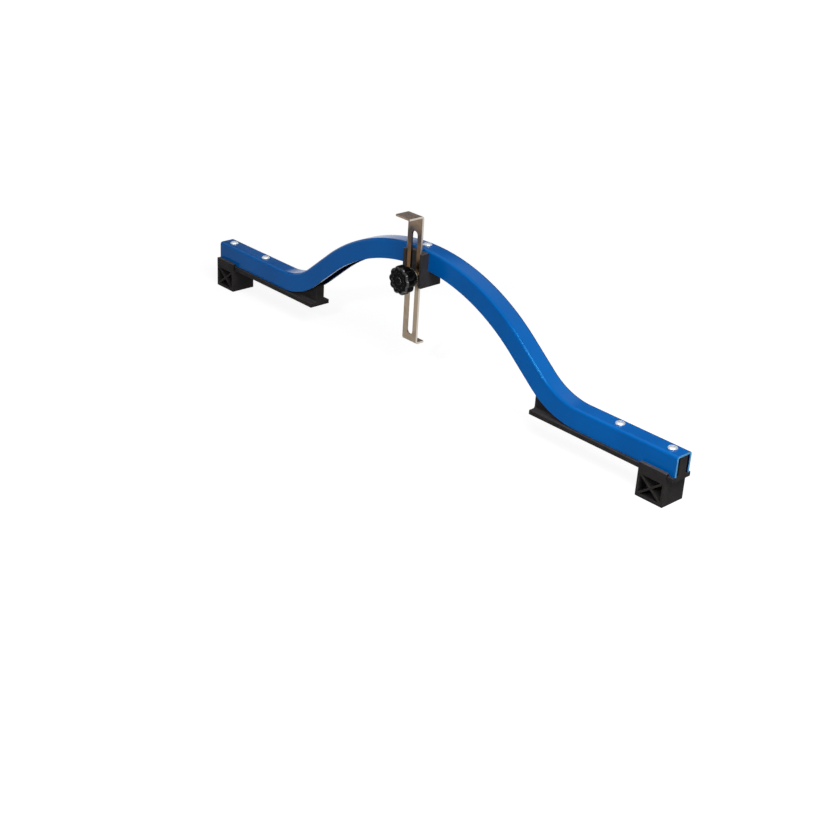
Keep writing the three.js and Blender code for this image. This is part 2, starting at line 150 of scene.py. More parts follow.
@dataclass(frozen=True)
class Layout:
    """The sizes that more than one sub-assembly is set out from."""

    depth_shift: float = 10.85
    clearance: float = 0.3
    sliding_clearance: float = 0.4
    beam_width: float = 19.0
    beam_height: float = 19.6
    beam_wall: float = 2.0
    crest_radius: float = 215.0
    flank_angle: float = math.radians(39.2)
    flank_length: float = 37.0
    foot_radius: float = 70.5
    leg_length: float = 109.4
    block_base: float = 24.5
    flange_width: float = 24.0
    flange_thickness: float = 4.4
    strip_width: float = 19.3
    strip_thickness: float = 2.0
    bracket_back: float = 5.2
    bolt_drop: float = 28.5
    bolt_diameter: float = 6.0

    @property
    def flange_bottom(self) -> float:
        """The underside of a rail's flange."""
        return self.block_base + self.clearance

    @property
    def flange_top(self) -> float:
        """The top of a rail's flange."""
        return self.flange_bottom + self.flange_thickness

    @property
    def leg_top(self) -> float:
        """The top of the beam along a leg."""
        return self.flange_top + self.clearance + self.beam_height

    @property
    def crest_top(self) -> float:
        """The top of the beam at its crest."""
        bends_rise = (self.foot_radius + self.crest_radius) * (1 - math.cos(self.flank_angle))
        return self.leg_top + bends_rise + self.flank_length * math.sin(self.flank_angle)

    @property
    def leg_start(self) -> float:
        """How far from the middle a leg begins."""
        radii = (self.crest_radius + self.foot_radius) * math.sin(self.flank_angle)
        return radii + self.flank_length * math.cos(self.flank_angle)

    @property
    def half_length(self) -> float:
        """How far from the middle the beam ends."""
        return self.leg_start + self.leg_length

    @property
    def beam_front(self) -> float:
        """The beam's front face, on Y."""
        return -self.beam_width / 2

    @property
    def seat(self) -> float:
        """The bracket's face that the strip lies on, on Y."""
        return self.beam_front - self.clearance - self.bracket_back

    @property
    def strip_back(self) -> float:
        """The strip's back face, on Y."""
        return self.seat - self.clearance

    @property
    def strip_front(self) -> float:
        """The strip's front face, on Y."""
        return self.strip_back - self.strip_thickness

    @property
    def bolt_height(self) -> float:
        """The height of the clamp's axis."""
        return self.crest_top - self.bolt_drop

    @property
    def bolt_hole(self) -> float:
        """The radius of a hole that the bolt passes through."""
        return self.bolt_diameter / 2 + self.clearance


LAY = Layout()


def linear(hex_colour: int) -> tuple[float, float, float, float]:
    """Turns an sRGB hex colour into the linear colour that a shader takes.

    Args:
        hex_colour: The colour as 0xRRGGBB.

    Returns:
        Linear red, green, blue and a full alpha.
    """
    channels = [(hex_colour >> shift & 0xFF) / 255 for shift in (16, 8, 0)]
    red, green, blue = (c / 12.92 if c <= 0.04045 else ((c + 0.055) / 1.055) ** 2.4 for c in channels)
    return red, green, blue, 1.0


def per_metre(size: float) -> float:
    """Gives the texture scale at which a pattern repeats every so many millimetres."""
    return 1 / (size * MM)


def add_node(
    tree: bpy.types.NodeTree, kind: str, inputs: Inputs | Sequence = (), **settings: object
) -> bpy.types.Node:
    """Adds a node to a tree, sets it up and links it.

    Args:
        tree: The node tree.
        kind: The node's type, as Blender names it after ShaderNode.
        inputs: Values for the inputs, by name, or in the order of those in use. A socket is linked, and so
            is the first output in use of a node.
        **settings: Values for the node's own properties.

    Returns:
        The new node.
    """
    node = tree.nodes.new(f"ShaderNode{kind}")
    for name, value in settings.items():
        setattr(node, name, value)
    if isinstance(inputs, dict):
        fed = [(node.inputs[name], value) for name, value in inputs.items()]
    else:
        fed = list(zip([socket for socket in node.inputs if socket.enabled], inputs))
    for socket, value in fed:
        if isinstance(value, bpy.types.Node):
            value = next(output for output in value.outputs if output.enabled)
        if isinstance(value, bpy.types.NodeSocket):
            tree.links.new(value, socket)
        else:
            socket.default_value = value
    return node


def start_material(name: str) -> tuple[bpy.types.Material, Adder, bpy.types.NodeSocket]:
    """Makes an empty material.

    Args:
        name: The material's name.

    Returns:
        The material, what adds nodes to it, and the object coordinates that its patterns read.
    """
    material = bpy.data.materials.new(name)
    material.use_nodes = True
    material.node_tree.nodes.clear()
    add = partial(add_node, material.node_tree)
    return material, add, add("TexCoord").outputs["Object"]


def split_normal(add: Adder, kind: str = "Normal") -> bpy.types.NodeOutputs:
    """Gives the way that a surface faces, as outputs X, Y and Z."""
    return add("SeparateXYZ", [add("NewGeometry").outputs[kind]]).outputs


def edge_mask(add: Adder, radius: float, fullness: float) -> Feed:
    """Finds the edges of a piece, for what rubbing and thin coating do there, and for painted highlights.

    Args:
        add: Adds a node to the material.
        radius: How far the edge's band reaches, in millimetres.
        fullness: How quickly the band fills.

    Returns:
        A factor that is 0 on flat faces and up to 1 on edges.
    """
    rounded = add("Bevel", {"Radius": radius * MM}, samples=EDGE_SAMPLES)
    likeness = add("VectorMath", (rounded, add("NewGeometry").outputs["Normal"]), operation="DOT_PRODUCT")
    turned = add("Math", (1.0, likeness), operation="SUBTRACT")
    return add("Math", (turned, fullness), operation="MULTIPLY", use_clamp=True)


def bend_mask(add: Adder) -> Feed:
    """Finds the bends along a piece that turn between its front or back and its other sides.

    Args:
        add: Adds a node to the material.

    Returns:
        A factor that is 0 where the surface faces along Y or square to it, and up to 0.25 between.
    """
    along = split_normal(add)["Y"]
    squared = add("Math", (along, along), operation="MULTIPLY")
    return add("Math", (squared, add("Math", (1.0, squared), operation="SUBTRACT")), operation="MULTIPLY")


def layered(add: Adder, base: int | Feed, layers: Sequence[tuple[Feed, int | Feed]]) -> Feed:
    """Lays colours over each other.

    Args:
        add: Adds a node to the material.
        base: The lowest colour, as a hex number or as what feeds it.
        layers: From the bottom up, the mask and the colour of each layer over it.

    Returns:
        The colour on top.
    """
    for mask, tint in layers:
        colours = [linear(colour) if isinstance(colour, int) else colour for colour in (base, tint)]
        base = add("Mix", (mask, *colours), data_type="RGBA")
    return base


def grained(add: Adder, place: Feed, size: float, depth: float, detail: float = 2.0) -> Feed:
    """Roughens a surface with a random grain.

    Args:
        add: Adds a node to the material.
        place: The object coordinates.
        size: The grain's size, in millimetres.
        depth: Its depth, in millimetres.
        detail: How many finer grains lie on it.

    Returns:
        The roughened normal.
    """
    grain = add("TexNoise", {"Vector": place, "Scale": per_metre(size), "Detail": detail})
    return add("Bump", {"Height": grain, "Distance": depth * MM, "Strength": 1.0})


@dataclass(frozen=True)
class Finish(ABC):
    """What a piece is made of and how its surface was made."""

    slot: Slot
    name: str
    roughness: Pair

    @abstractmethod
    def surface(self, add: Adder, place: Feed) -> Inputs:
        """Lays out the surface.

        Args:
            add: Adds a node to the material.
            place: The object coordinates.

        Returns:
            The Principled shader's inputs.
        """

    @cache
    def material(self) -> bpy.types.Material:
        """Makes the material once, for all the pieces that take it.

        Returns:
            The material.
        """
        material, add, place = start_material(self.name)
        add("OutputMaterial", {"Surface": add("BsdfPrincipled", self.surface(add, place))})
        return material


@dataclass(frozen=True)
class PowderCoat(Finish):
    """Gloss polyester powder coat on steel sheet.

    Baked powder flows into a shallow orange peel and thins over edges. The edges are painted paler, partly
    for the thin coat and partly as a painted highlight, and the sheared ends paler still in the same way. It
    shows a soft highlight along each bend. Hands polish the bends and the top, which shine more than the
    front. The faces within the channel carry a painted shade, the lower rims a painted light from the floor
    below, and the bend at the back a dark painted shade, which also takes its gloss away.
    """

    slot: Slot = Slot.PAINT
    name: str = "powder coat blue"
    roughness: Pair = (0.15, 0.2)
    ior: float = 1.5
    colour: int = 0x0066BC
    shaded: int = 0x005EB0
    drift_size: float = 70.0
    # Paler edges: thinner coat, and a painted highlight
    thin_edge: int = 0x3C8FD6
    thin_width: float = 0.5
    thin_fullness: float = 1.6
    # Faces within the channel are painted dark: a painted shade
    inside: int = 0x001C46
    inside_half: float = LAY.beam_width / 2 - LAY.beam_wall + 0.1
    inside_tilt: float = 0.1
    # Ends painted pale: thinner coat on the cut, and a painted highlight
    sheared: int = 0x57AEE8
    sheared_tilt: float = 0.9
    # Lower rims are painted pale: a painted light from the floor below
    rim: int = 0xC4D6E6
    rim_tilt: float = -0.4
    # A dark painted shade along the bend at the back
    grimed: int = 0x00244E
    grime_turn: Pair = (0.05, 0.3)
    grime_tilt: float = 0.2
    shine: float = 0.1
    top_shine: float = 0.22
    bend_shine: float = 0.45
    bend_turn: Pair = (0.02, 0.2)
    highlight_tint: int = 0x70D4FF
    peel_size: float = 2.2
    peel_depth: float = 0.006

    def surface(self, add: Adder, place: Feed) -> Inputs:
        """Lays out the surface.

        Args:
            add: Adds a node to the material.
            place: The object coordinates.

        Returns:
            The Principled shader's inputs.
        """
        drift = add("TexNoise", {"Vector": place, "Scale": per_metre(self.drift_size)})
        grime = self.grime(add)
        inner, ends, rims = self.masks(add, place)
        # Edges and ends: painted highlight; inner faces and back bend: painted shade; lower rims: painted light
        colour = layered(add, self.shaded, [
            (add("MapRange", (drift, *NOISE_MIDDLE)), self.colour),
            (edge_mask(add, self.thin_width, self.thin_fullness), self.thin_edge),
            (inner, self.inside),
            (ends, self.sheared),
            (rims, self.rim),
            (grime, self.grimed),
        ])
        flats = add("MapRange", (split_normal(add)["Y"], -1.0, 0.0, self.shine, self.top_shine))
        bends = add("MapRange", (bend_mask(add), *self.bend_turn, 0.0, self.bend_shine))
        polish = add("Math", (flats, bends), operation="MAXIMUM")
        # Gloss is taken off where the painted shade lies along the back bend
        unshaded = add("Math", (1.0, grime), operation="SUBTRACT")
        return {
            "Base Color": colour,
            "Roughness": add("MapRange", (drift, *NOISE_RANGE, *self.roughness)),
            "IOR": self.ior,
            "Specular IOR Level": add("Math", (polish, unshaded), operation="MULTIPLY"),
            "Specular Tint": linear(self.highlight_tint),
            "Normal": grained(add, place, self.peel_size, self.peel_depth, detail=1.0),
        }

    def grime(self, add: Adder) -> Feed:
        """Finds where the surface turns from the top to the back.

        Args:
            add: Adds a node to the material.

        Returns:
            A factor that is up to 1 there.
        """
        # The bend from top to back, where the painted shade lies
        facing = split_normal(add)
        backward = add("MapRange", (facing["Y"], *self.grime_turn))
        upward = add("Math", (facing["Z"], self.grime_tilt), operation="GREATER_THAN")
        return add("Math", (backward, upward), operation="MULTIPLY")

    def masks(self, add: Adder, place: Feed) -> tuple[Feed, Feed, Feed]:
        """Tells the channel's faces apart by their distance from the middle plane and the way they face.

        Args:
            add: Adds a node to the material.
            place: The object coordinates.

        Returns:
            Factors that are 1 on the inner faces, on the sheet's sheared ends and on its lower rims, which
            take painted shade, painted highlight and painted light.
        """
        across = add("Math", (add("SeparateXYZ", [place]).outputs["Y"], LAY.depth_shift * MM), operation="SUBTRACT")
        distance = add("Math", [across], operation="ABSOLUTE")
        facing = split_normal(add, "True Normal")
        endwise = add("Math", [facing["X"]], operation="ABSOLUTE")
        ends = add("Math", (endwise, self.sheared_tilt), operation="GREATER_THAN")
        narrow = add("Math", (distance, self.inside_half * MM), operation="LESS_THAN")
        wide = add("Math", (1.0, narrow), operation="SUBTRACT")
        not_up = add("Math", (facing["Z"], self.inside_tilt), operation="LESS_THAN")
        down = add("Math", (facing["Z"], self.rim_tilt), operation="LESS_THAN")
        inner = add("Math", (narrow, not_up), operation="MULTIPLY")
        return inner, ends, add("Math", (down, wide), operation="MULTIPLY")


@dataclass(frozen=True)
class MouldedNylon(Finish):
    """Black glass-filled nylon, injection moulded.

    The spark-eroded mould leaves a fine matt grain, drawn here a few times as coarse as it is. Handling
    polishes the edges, which shine and are painted a paler grey, partly for wear and partly as a painted
    highlight. The ledges that face up are painted a paler grey in clumps, partly for dust and partly as
    painted light from above.
    """

    slot: Slot = Slot.PLASTIC
    name: str = "moulded black nylon"
    roughness: Pair = (0.71, 0.59)
    ior: float = 1.53
    colour: int = 0x262424
    flow: int = 0x2F2D2C
    flow_size: float = 14.0
    flow_span: Pair = (0.35, 0.7)
    # Paler edges: wear, and a painted highlight
    rubbed: int = 0x625A56
    rubbed_width: float = 0.8
    rubbed_fullness: float = 1.3
    # Paler tops: dust, and painted light from above
    dust: int = 0x6C686C
    dust_cover: float = 0.6
    dust_thinnest: float = 0.6
    dust_size: float = 5.0
    dust_tilt: Pair = (0.7, 0.95)
    dusty_above: float = 26.0
    shine: float = 0.07
    edge_shine: float = 0.25
    edge_turn: Pair = (0.08, 0.2)
    grain_size: float = 0.45
    grain_depth: float = 0.02

    def surface(self, add: Adder, place: Feed) -> Inputs:
        """Lays out the surface.

        Args:
            add: Adds a node to the material.
            place: The object coordinates.

        Returns:
            The Principled shader's inputs.
        """
        flow = add("TexNoise", {"Vector": place, "Scale": per_metre(self.flow_size), "Detail": 4.0})
        # Edges are painted paler for wear and a highlight, and tops for dust and light from above
        return {
            "Base Color": layered(add, self.colour, [
                (add("MapRange", (flow, *self.flow_span)), self.flow),
                (edge_mask(add, self.rubbed_width, self.rubbed_fullness), self.rubbed),
                (self.settled(add, place), self.dust),
            ]),
            "Roughness": add("MapRange", (flow, *NOISE_RANGE, *self.roughness)),
            "IOR": self.ior,
            "Specular IOR Level": add("MapRange", (bend_mask(add), *self.edge_turn, self.shine, self.edge_shine)),
            "Normal": grained(add, place, self.grain_size, self.grain_depth),
        }

    def settled(self, add: Adder, place: Feed) -> Feed:
        """Says where dust has settled and where painted light from above falls.

        Args:
            add: Adds a node to the material.
            place: The object coordinates.

        Returns:
            A factor that is 0 elsewhere and up to the cover of dust and painted light on open ledges.
        """
        clumps = add("TexNoise", {"Vector": place, "Scale": per_metre(self.dust_size), "Detail": 3.0})
        thinnest = self.dust_cover * self.dust_thinnest
        cover = add("MapRange", (clumps, *NOISE_MIDDLE, thinnest, self.dust_cover))
        height = add("SeparateXYZ", [place]).outputs["Z"]
        open_to_air = add("Math", (height, self.dusty_above * MM), operation="GREATER_THAN")
        level = add("MapRange", (split_normal(add)["Z"], *self.dust_tilt))
        ledges = add("Math", (open_to_air, level), operation="MULTIPLY")
        return add("Math", (cover, ledges), operation="MULTIPLY")


# The rails lie under the beam, where less dust falls and their tops take less painted light
RAIL_NYLON = MouldedNylon(name="rubbed black nylon", dust_cover=0.25)
# The bracket is rubbed by the strip and by fingers on the knob, which greys it
BRACKET_NYLON = MouldedNylon(name="greyed black nylon", colour=0x333234, flow=0x3C3A3D, dust_cover=0.5)
# Fingers keep the knob clean and polish it, so that it is the blackest; its edges shine and carry a pale painted
# highlight
KNOB_NYLON = MouldedNylon(
    name="polished black nylon",
    roughness=(0.36, 0.24),
    colour=0x040304,
    flow=0x080708,
    # A pale painted highlight on the knob's edges
    rubbed=0x7A7476,
    rubbed_width=1.0,
    dust_cover=0.0,
    shine=0.03,
    edge_shine=0.6,
    grain_depth=0.004,
)


@dataclass(frozen=True)
class BrushedStainless(Finish):
    """Stainless steel strip, half polished on a belt that runs along it.

    The belt leaves fine lines along the strip, so highlights stretch across it. They are drawn here a few
    times as coarse as they are. The upper half is coloured in blotched bands by height, warm over the clamp,
    dull over that and paler at the top. The sheared sides are painted bright, partly for the bare cut and
    partly as a painted highlight.
    """

    slot: Slot = Slot.STAINLESS
    name: str = "stainless strip belt polished"
    roughness: Pair = (0.24, 0.4)
    colour: int = 0x968775
    rubbed: int = 0x7C6F60
    stained: int = 0x4A423C
    wear: float = 0.7
    wear_span: Pair = (0.42, 0.7)
    patch_size: float = 9.0
    bands: tuple[tuple[float, float, int], ...] = (
        (92.0, 118.0, 0x6E5236),
        (141.0, 147.0, 0x484240),
        (154.0, 161.0, 0x897564),
        (166.0, 171.0, 0xAA927E),
    )
    band_waver: float = 6.0
    sheared: int = 0xC8BEB2
    sheared_from: float = 9.45
    line_pitch: float = 0.35
    line_length: float = 45.0
    line_depth: float = 0.004

    def surface(self, add: Adder, place: Feed) -> Inputs:
        """Lays out the surface.

        Args:
            add: Adds a node to the material.
            place: The object coordinates.

        Returns:
            The Principled shader's inputs.
        """
        along, waver = per_metre(self.line_length), self.band_waver * MM
        drawn = {"Vector": place, "Scale": (per_metre(self.line_pitch), along, along)}
        lines_at = add("Mapping", drawn, vector_type="POINT")
        lines = add("TexNoise", {"Vector": lines_at, "Scale": 1.0, "Detail": 3.0})
        patches = add("TexNoise", {"Vector": place, "Scale": per_metre(self.patch_size), "Detail": 4.0})
        worn = add("MapRange", (patches, *self.wear_span, 0.0, self.wear))
        axes = add("SeparateXYZ", [place]).outputs
        wavered = add("MapRange", (patches, *NOISE_RANGE, -waver, waver))
        height = add("Math", (axes["Z"], wavered), operation="ADD")
        layers: list[tuple[Feed, int | Feed]] = [(worn, self.rubbed)]
        for low, high, tint in self.bands:
            reached = add("MapRange", (height, low * MM, high * MM))
            layers.append((reached, layered(add, tint, [(worn, self.stained)])))
        # The outer sides are painted bright: the bare cut, and a painted highlight
        sideways = add("Math", [axes["X"]], operation="ABSOLUTE")
        layers.append((add("Math", (sideways, self.sheared_from * MM), operation="GREATER_THAN"), self.sheared))
        return {
            "Base Color": layered(add, self.colour, layers),
            "Metallic": 1.0,
            "Roughness": add("MapRange", (lines, *NOISE_RANGE, *self.roughness)),
            "Normal": add("Bump", {"Height": lines, "Distance": self.line_depth * MM, "Strength": 1.0}),
        }


@dataclass(frozen=True)
class SmallMetal(Finish):
    """Bright metal of a small fastener, with the mottling and fine scratches of its surface."""

    colour: int
    mottle: int
    mottle_size: float = 2.5
    scratch_size: float = 0.3
    scratch_depth: float = 0.006

    def surface(self, add: Adder, place: Feed) -> Inputs:
        """Lays out the surface.

        Args:
            add: Adds a node to the material.
            place: The object coordinates.

        Returns:
            The Principled shader's inputs.
        """
        mottle = add("TexNoise", {"Vector": place, "Scale": per_metre(self.mottle_size), "Detail": 3.0})
        return {
            "Base Color": layered(add, self.colour, [(add("MapRange", (mottle, *NOISE_MIDDLE)), self.mottle)]),
            "Metallic": 1.0,
            "Roughness": add("MapRange", (mottle, *NOISE_RANGE, *self.roughness)),
            "Normal": grained(add, place, self.scratch_size, self.scratch_depth),
        }


# Aluminium rivets are tumbled bright; their steel mandrels snap off and keep a rough break, painted pale as a
# highlight
RIVET_ALUMINIUM = SmallMetal(Slot.RIVET, "tumbled aluminium", (0.35, 0.48), 0xF2F6FA, 0xE4EAF0)
BROKEN_STEEL = SmallMetal(Slot.ZINC, "broken plated steel", (0.75, 0.88), 0xE2E4EA, 0xCFD2D8)
# Zinc plate on steel is bright with faint yellow and blue patches
ZINC_PLATE = SmallMetal(Slot.ZINC, "zinc plated steel", (0.27, 0.4), 0xB9BDBF, 0xAFAE9E)
# Brass off the lathe is a bright yellow, a little browner where it has dulled
TURNED_BRASS = SmallMetal(Slot.BRASS, "turned brass", (0.23, 0.36), 0xC29A4B, 0xAD8740)


class Workpiece:
    """A mesh on the bench: a primitive, shaped step by step with Blender's operators."""

    def __init__(self, name: str) -> None:
        """Takes over the primitive that was just added and bakes its place into its mesh.

        Args:
            name: The piece's name.
        """
        self.object = bpy.context.object
        self.object.name = self.object.data.name = name
        bpy.ops.object.transform_apply(location=True, rotation=True, scale=True)

    @classmethod
    def box(cls, name: str, low: Triple, high: Triple) -> Workpiece:
        """Starts from a box.

        Args:
            name: The piece's name.
            low: The corner at its left, front and bottom.
            high: The corner opposite.

        Returns:
            The box.
        """
        bpy.ops.object.select_all(action="DESELECT")
        centre, size = (Vector(low) + Vector(high)) / 2 * MM, (Vector(high) - Vector(low)) * MM
        bpy.ops.mesh.primitive_cube_add(size=1, location=centre, scale=size)
        return cls(name)

    @classmethod
    def bar(cls, name: str, radius: float, start: Triple, end: Triple, sides: int = ROUND_SIDES) -> Workpiece:
        """Starts from a bar, round or with few sides.

        Args:
            name: The piece's name.
            radius: From its axis to its corners.
            start: One end of its axis.
            end: The other end.
            sides: How many flats it has.

        Returns:
            The bar.
        """
        bpy.ops.object.select_all(action="DESELECT")
        run = Vector(end) - Vector(start)
        bpy.ops.mesh.primitive_cylinder_add(
            vertices=sides,
            radius=radius * MM,
            depth=run.length * MM,
            location=(Vector(start) + Vector(end)) / 2 * MM,
            rotation=run.to_track_quat("Z", "Y").to_euler(),
        )
        return cls(name)

    @classmethod
    def clamp_bar(cls, name: str, radius: float, back: float, front: float, sides: int = ROUND_SIDES) -> Workpiece:
        """Starts from a bar on the clamp's axis, between two places on Y."""
        return cls.bar(name, radius, (0.0, back, LAY.bolt_height), (0.0, front, LAY.bolt_height), sides)

    @classmethod
    def line(cls, name: str, points: Sequence[Triple]) -> Workpiece:
        """Draws a line by extruding one vertex.

        Args:
            name: The piece's name.
            points: The points that it runs through.

        Returns:
            The line.
        """
        bpy.ops.object.select_all(action="DESELECT")
        bpy.ops.mesh.primitive_plane_add(size=MM, location=Vector(points[0]) * MM)
        piece = cls(name)
        with piece.editing():
            bpy.ops.mesh.select_mode(type=Element.VERT.name)
            bpy.ops.mesh.select_all(action="SELECT")
            bpy.ops.mesh.merge(type="CENTER")
            for before, after in zip(points, points[1:]):
                piece.extrude(tuple(Vector(after) - Vector(before)))
        return piece

    @classmethod
    def turned(
        cls, name: str, profile: Sequence[Pair], foot: Triple, axis: Triple, steps: int = ROUND_SIDES
    ) -> Workpiece:
        """Turns a profile about an axis, as on a lathe.

        Args:
            name: The piece's name.
            profile: Points as (radius, distance along the axis). The first is also the last, or both lie
                on the axis.
            foot: The point on the axis that distances are counted from.
            axis: The axis, up or forwards.
            steps: How many flats make the round.

        Returns:
            The turned piece.
        """
        run = Vector(axis)
        piece = cls.line(name, [tuple(Vector(foot) + Vector((radius, 0, 0)) + run * at) for radius, at in profile])
        with piece.editing():
            bpy.ops.mesh.select_all(action="SELECT")
            piece.spin(foot, axis, math.tau, steps)
            piece.tidy()
        return piece

    def choose(self) -> None:
        """Makes the piece the one that object operators act on."""
        bpy.ops.object.select_all(action="DESELECT")
        self.object.select_set(True)
        bpy.context.view_layer.objects.active = self.object

    @contextmanager
    def editing(self) -> Iterator[None]:
        """Holds the piece in edit mode.

        Yields:
            Nothing; edit mode lasts as long as the block.
        """
        self.choose()
        bpy.ops.object.mode_set(mode="EDIT")
        try:
            yield
        finally:
            bpy.ops.object.mode_set(mode="OBJECT")

    def pick(self, kind: Element, wanted: Callable[..., bool]) -> None:
        """Selects some of the mesh in edit mode.

        Args:
            kind: What to select.
            wanted: Says which of them.
        """
        bpy.ops.mesh.select_mode(type=kind.name)
        bpy.ops.mesh.select_all(action="DESELECT")
        mesh = bmesh.from_edit_mesh(self.object.data)
        for element in getattr(mesh, kind.value):
            element.select_set(wanted(element))
        bmesh.update_edit_mesh(self.object.data)

    def pick_faces(self, wanted: PlaceTest) -> None:
        """Selects faces by their middle, in millimetres, and normal."""
        self.pick(Element.FACE, lambda face: wanted(face.calc_center_median() / MM, face.normal))

    def pick_edges(self, wanted: PlaceTest) -> None:
        """Selects edges by their two ends, in millimetres."""
        self.pick(Element.EDGE, lambda edge: wanted(edge.verts[0].co / MM, edge.verts[1].co / MM))

    def pick_points(self, wanted: Callable[[Vector], bool]) -> None:
        """Selects vertices by their place, in millimetres."""
        self.pick(Element.VERT, lambda vertex: wanted(vertex.co / MM))

    def extrude(self, move: Triple) -> None:
        """Extrudes the selection along a move."""
        bpy.ops.mesh.extrude_region_move(TRANSFORM_OT_translate={"value": Vector(move) * MM})

    def spin(self, centre: Triple, axis: Triple, angle: float, steps: int) -> None:
        """Sweeps the selection about an axis; a positive angle turns by the left-hand rule."""
        bpy.ops.mesh.spin(steps=steps, angle=angle, center=Vector(centre) * MM, axis=axis)

    def bevel(self, width: float, segments: int) -> None:
        """Rounds the selected edges to a radius."""
        bpy.ops.mesh.bevel(offset=width * MM, segments=segments, affect="EDGES", clamp_overlap=False)

    def bisect(self, point: Triple, normal: Triple) -> None:
        """Cuts a line round the whole piece where a plane meets it."""
        bpy.ops.mesh.select_all(action="SELECT")
        bpy.ops.mesh.bisect(plane_co=Vector(point) * MM, plane_no=normal)

    def tidy(self) -> None:
        """Merges doubled points and turns the faces outwards."""
        bpy.ops.mesh.select_all(action="SELECT")
        bpy.ops.mesh.remove_doubles(threshold=MERGE_DISTANCE * MM)
        bpy.ops.mesh.normals_make_consistent(inside=False)

    def face_towards(self, direction: Triple) -> None:
        """Turns an open sheet's faces all to one side.

        Args:
            direction: The way that most of that side looks.
        """
        bpy.ops.mesh.select_all(action="SELECT")
        bpy.ops.mesh.normals_make_consistent(inside=False)
        mesh = bmesh.from_edit_mesh(self.object.data)
        if sum(face.normal.dot(direction) * face.calc_area() for face in mesh.faces) < 0:
            bpy.ops.mesh.flip_normals()

    def modify(self, kind: str, **settings: object) -> None:
        """Adds a modifier and applies it.

        Args:
            kind: The modifier's type.
            **settings: Values for its properties.
        """
        self.choose()
        modifier = self.object.modifiers.new(kind.lower(), kind)
        for name, value in settings.items():
            setattr(modifier, name, value)
        bpy.ops.object.modifier_apply(modifier=modifier.name)

    def thicken(self, thickness: float) -> None:
        """Gives an open sheet its thickness, behind its faces."""
        self.modify("SOLIDIFY", thickness=thickness * MM, offset=-1.0, use_even_offset=True)

    def scrap(self) -> None:
        """Takes the piece off the bench for good."""
        bpy.data.objects.remove(self.object, do_unlink=True)

    def combine(self, other: Workpiece, joining: Joining) -> None:
        """Joins or cuts the piece with another, which is used up."""
        self.modify("BOOLEAN", object=other.object, operation=joining.value, solver="EXACT")
        other.scrap()

    def cut(self, *tools: Workpiece) -> None:
        """Cuts tools out of the piece."""
        for tool in tools:
            self.combine(tool, Joining.DIFFERENCE)

    def round_edges(self, width: float, angle: float) -> None:
        """Rounds every edge sharper than an angle in degrees."""
        limit = math.radians(angle)
        self.modify("BEVEL", width=width * MM, segments=EDGE_SEGMENTS, limit_method="ANGLE", angle_limit=limit)

    def break_edges(self, width: float) -> None:
        """Rounds the piece's edges, and shades it smooth but for those that are still sharp."""
        self.round_edges(width, SHARP_ANGLE)
        self.smooth(SHARP_ANGLE - PLACE_TOLERANCE)

    def smooth(self, angle: float) -> None:
        """Shades the piece smooth and keeps flats flat.

        Args:
            angle: Edges sharper than this, in degrees, stay sharp.
        """
        self.choose()
        bpy.ops.object.shade_smooth_by_angle(angle=math.radians(angle))
        self.modify("WEIGHTED_NORMAL", mode="FACE_AREA", weight=100, keep_sharp=True)

    def copied(self, name: str, offset: Triple) -> Workpiece:
        """Copies the piece, with a mesh of its own, and moves the copy.

        Args:
            name: The copy's name.
            offset: How far it is moved.

        Returns:
            The copy.
        """
        self.choose()
        bpy.ops.object.duplicate()
        bpy.context.object.location = Vector(offset) * MM
        return Workpiece(name)

    def dress(self, finish: Finish, body: Body, node: str) -> None:
        """Sets the piece in its place in the gauge, finished, instead of one of the frame's solids.

        Args:
            finish: What it is made of.
            body: The body that it rides on.
            node: The solid that it replaces.
        """
        self.choose()
        self.object.location.y = LAY.depth_shift * MM
        bpy.ops.object.transform_apply(location=True, rotation=False, scale=False)
        self.object.data.materials.clear()
        self.object.data.materials.append(finish.material())
        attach(self.object, body.value)
        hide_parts(node)
        LOG.info("%s: %d faces", self.object.name, len(self.object.data.polygons))


